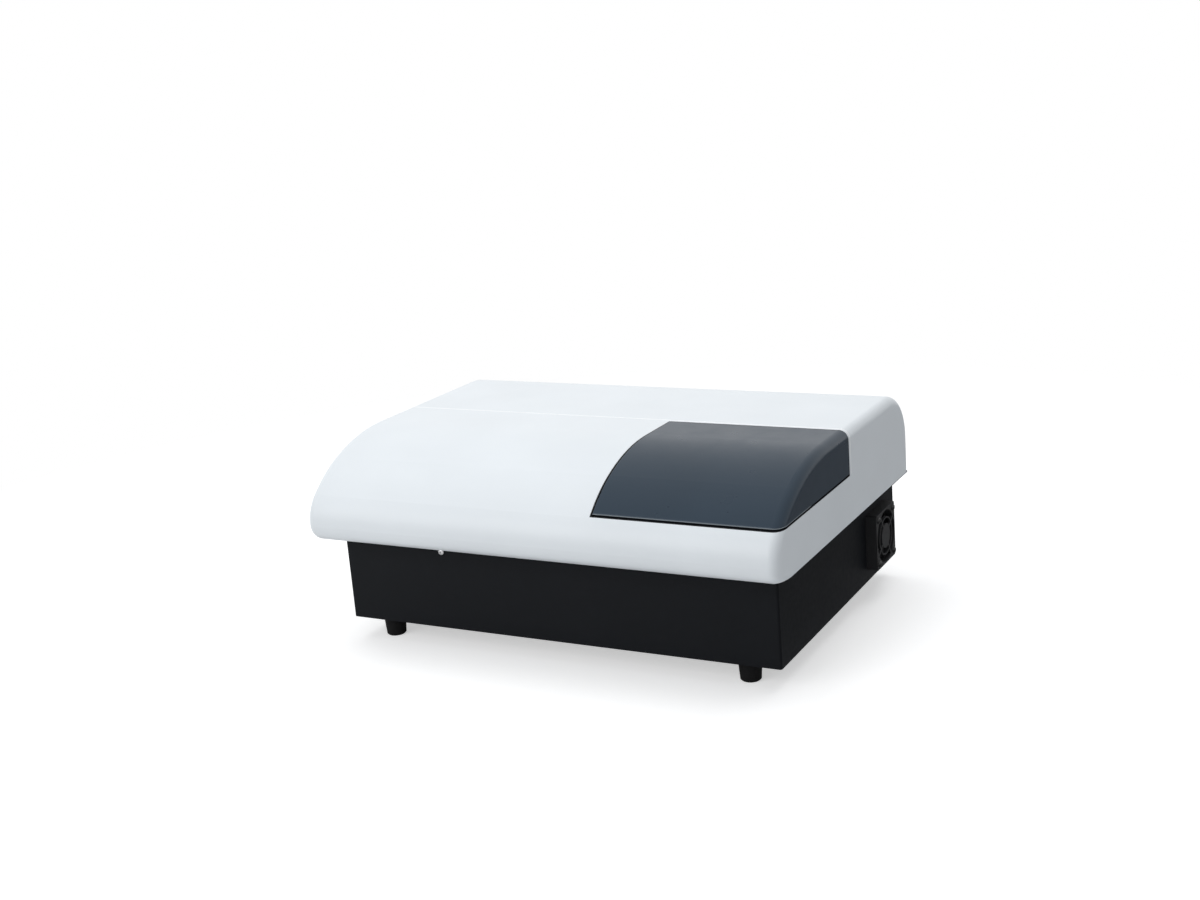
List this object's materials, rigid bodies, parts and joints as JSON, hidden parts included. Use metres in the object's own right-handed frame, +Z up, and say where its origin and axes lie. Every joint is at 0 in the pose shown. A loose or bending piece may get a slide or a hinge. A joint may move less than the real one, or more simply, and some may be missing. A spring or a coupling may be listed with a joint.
{
  "type": "microplate reader",
  "caption": "Bench microplate reader: white curved hood on a black sheet-metal base, dark wrap-round lid over a sliding plate carriage, side fan, rubber feet.",
  "frame": {"origin": "on the table, under the middle of the hood", "axes": "+X to the right seen from the front, +Y to the rear, +Z up; the front faces -Y"},
  "size_m": [0.434, 0.32, 0.1788],
  "materials": {
    "hood_white": "satin white moulding",
    "lid_slate": "satin dark slate",
    "base_black": "black powder coat",
    "liner_black": "fine grain",
    "pad_rubber": "soft",
    "foot_rubber": "moulded",
    "bright_steel": "ground",
    "screw_steel": "nickel plated",
    "screw_black": "black oxide",
    "deck_aluminium": "brushed",
    "block_aluminium": "machined",
    "rod_chrome": "polished",
    "motor_black": "satin black",
    "carriage_black": "black anodised look",
    "nut_brass": "machined",
    "optics_black": "matt black",
    "lens_glass": "clear",
    "filter_glass": "coloured interference glass",
    "board_green": "solder mask",
    "plated_steel": "zinc plated",
    "lamp_ceramic": "ceramic",
    "guide_sheath": "black sheath",
    "sensor_black": "moulded",
    "fan_black": "glass filled",
    "inlet_black": "moulded",
    "rocker_black": "gloss",
    "supply_aluminium": "folded sheet"
  },
  "bodies": {
    "instrument": {"base_tray": "base_black", "bay_liner": "liner_black", "board_screws": "screw_steel", "board_standoffs": "nut_brass", "collimator": "optics_black", "condenser_lens": "lens_glass", "cover": "hood_white", "cover_blocks": "hood_white", "cover_screws": "screw_steel", "deck_pillars": "deck_aluminium", "deck_screws": "screw_steel", "detector_board": "board_green", "drive_motor": "motor_black", "fan_housing": "fan_black", "fan_screws": "screw_black", "filter_bracket": "block_aluminium", "filter_motor": "motor_black", "foot_front_left": "foot_rubber", "foot_front_right": "foot_rubber", "foot_rear_left": "foot_rubber", "foot_rear_right": "foot_rubber", "foot_screws": "screw_steel", "guide_rod_front": "rod_chrome", "guide_rod_rear": "rod_chrome", "halogen_lamp": "lens_glass", "head_lenses": "lens_glass", "hinge_screws": "screw_steel", "home_sensor": "sensor_black", "inlet_screws": "screw_steel", "lamp_housing": "plated_steel", "lamp_socket": "lamp_ceramic", "lens_tube": "block_aluminium", "lid_bumpers": "pad_rubber", "lid_hinge_bracket": "bright_steel", "lid_hinge_pins": "bright_steel", "light_block": "optics_black", "light_guide": "guide_sheath", "light_lenses": "lens_glass", "main_board": "board_green", "mechanism_deck": "deck_aluminium", "optical_head": "optics_black", "power_inlet": "inlet_black", "power_supply": "supply_aluminium", "rod_block_left": "block_aluminium", "rod_block_right": "block_aluminium", "screw_bearing": "bright_steel", "serial_port": "plated_steel", "switch_bezel": "inlet_black"},
    "lid": {"lid": "lid_slate"},
    "carriage": {"carriage": "carriage_black", "carriage_bearings": "nut_brass", "screw_nut": "nut_brass"},
    "drive_screw": {"lead_screw": "bright_steel", "shaft_coupler": "block_aluminium", "motor_shaft": "bright_steel"},
    "filter_wheel": {"filter_wheel": "optics_black", "optical_filters": "filter_glass", "wheel_shaft": "bright_steel"},
    "fan": {"fan_rotor": "fan_black"},
    "rocker": {"power_rocker": "rocker_black"}
  },
  "joints": [
    {"name": "lid_hinge", "type": "hinge", "parent": "instrument", "child": "lid", "pos_m": [0.13675, -0.0004, 0.1752], "axis": [-1, 0, 0], "range_deg": [0, 95]},
    {"name": "carriage_slide", "type": "slide", "parent": "instrument", "child": "carriage", "axis": [-1, 0, 0], "range_m": [0, 0.165]},
    {"name": "screw_spin", "type": "hinge", "parent": "instrument", "child": "drive_screw", "pos_m": [0, 0.002, 0.115], "axis": [1, 0, 0], "range_deg": [0, 7430]},
    {"name": "filter_wheel_spin", "type": "hinge", "parent": "instrument", "child": "filter_wheel", "pos_m": [-0.114, 0.06, 0.142], "axis": [1, 0, 0], "continuous": true},
    {"name": "fan_spin", "type": "hinge", "parent": "instrument", "child": "fan", "pos_m": [0.203, 0.1026, 0.0558], "axis": [1, 0, 0], "continuous": true},
    {"name": "rocker_tilt", "type": "hinge", "parent": "instrument", "child": "rocker", "pos_m": [-0.105, 0.154, 0.077], "axis": [-1, 0, 0], "range_deg": [0, 16]}
  ],
  "couplings": [
    {"joint": "screw_spin", "follows": "carriage_slide", "rad_per_m": 785.4}
  ]
}
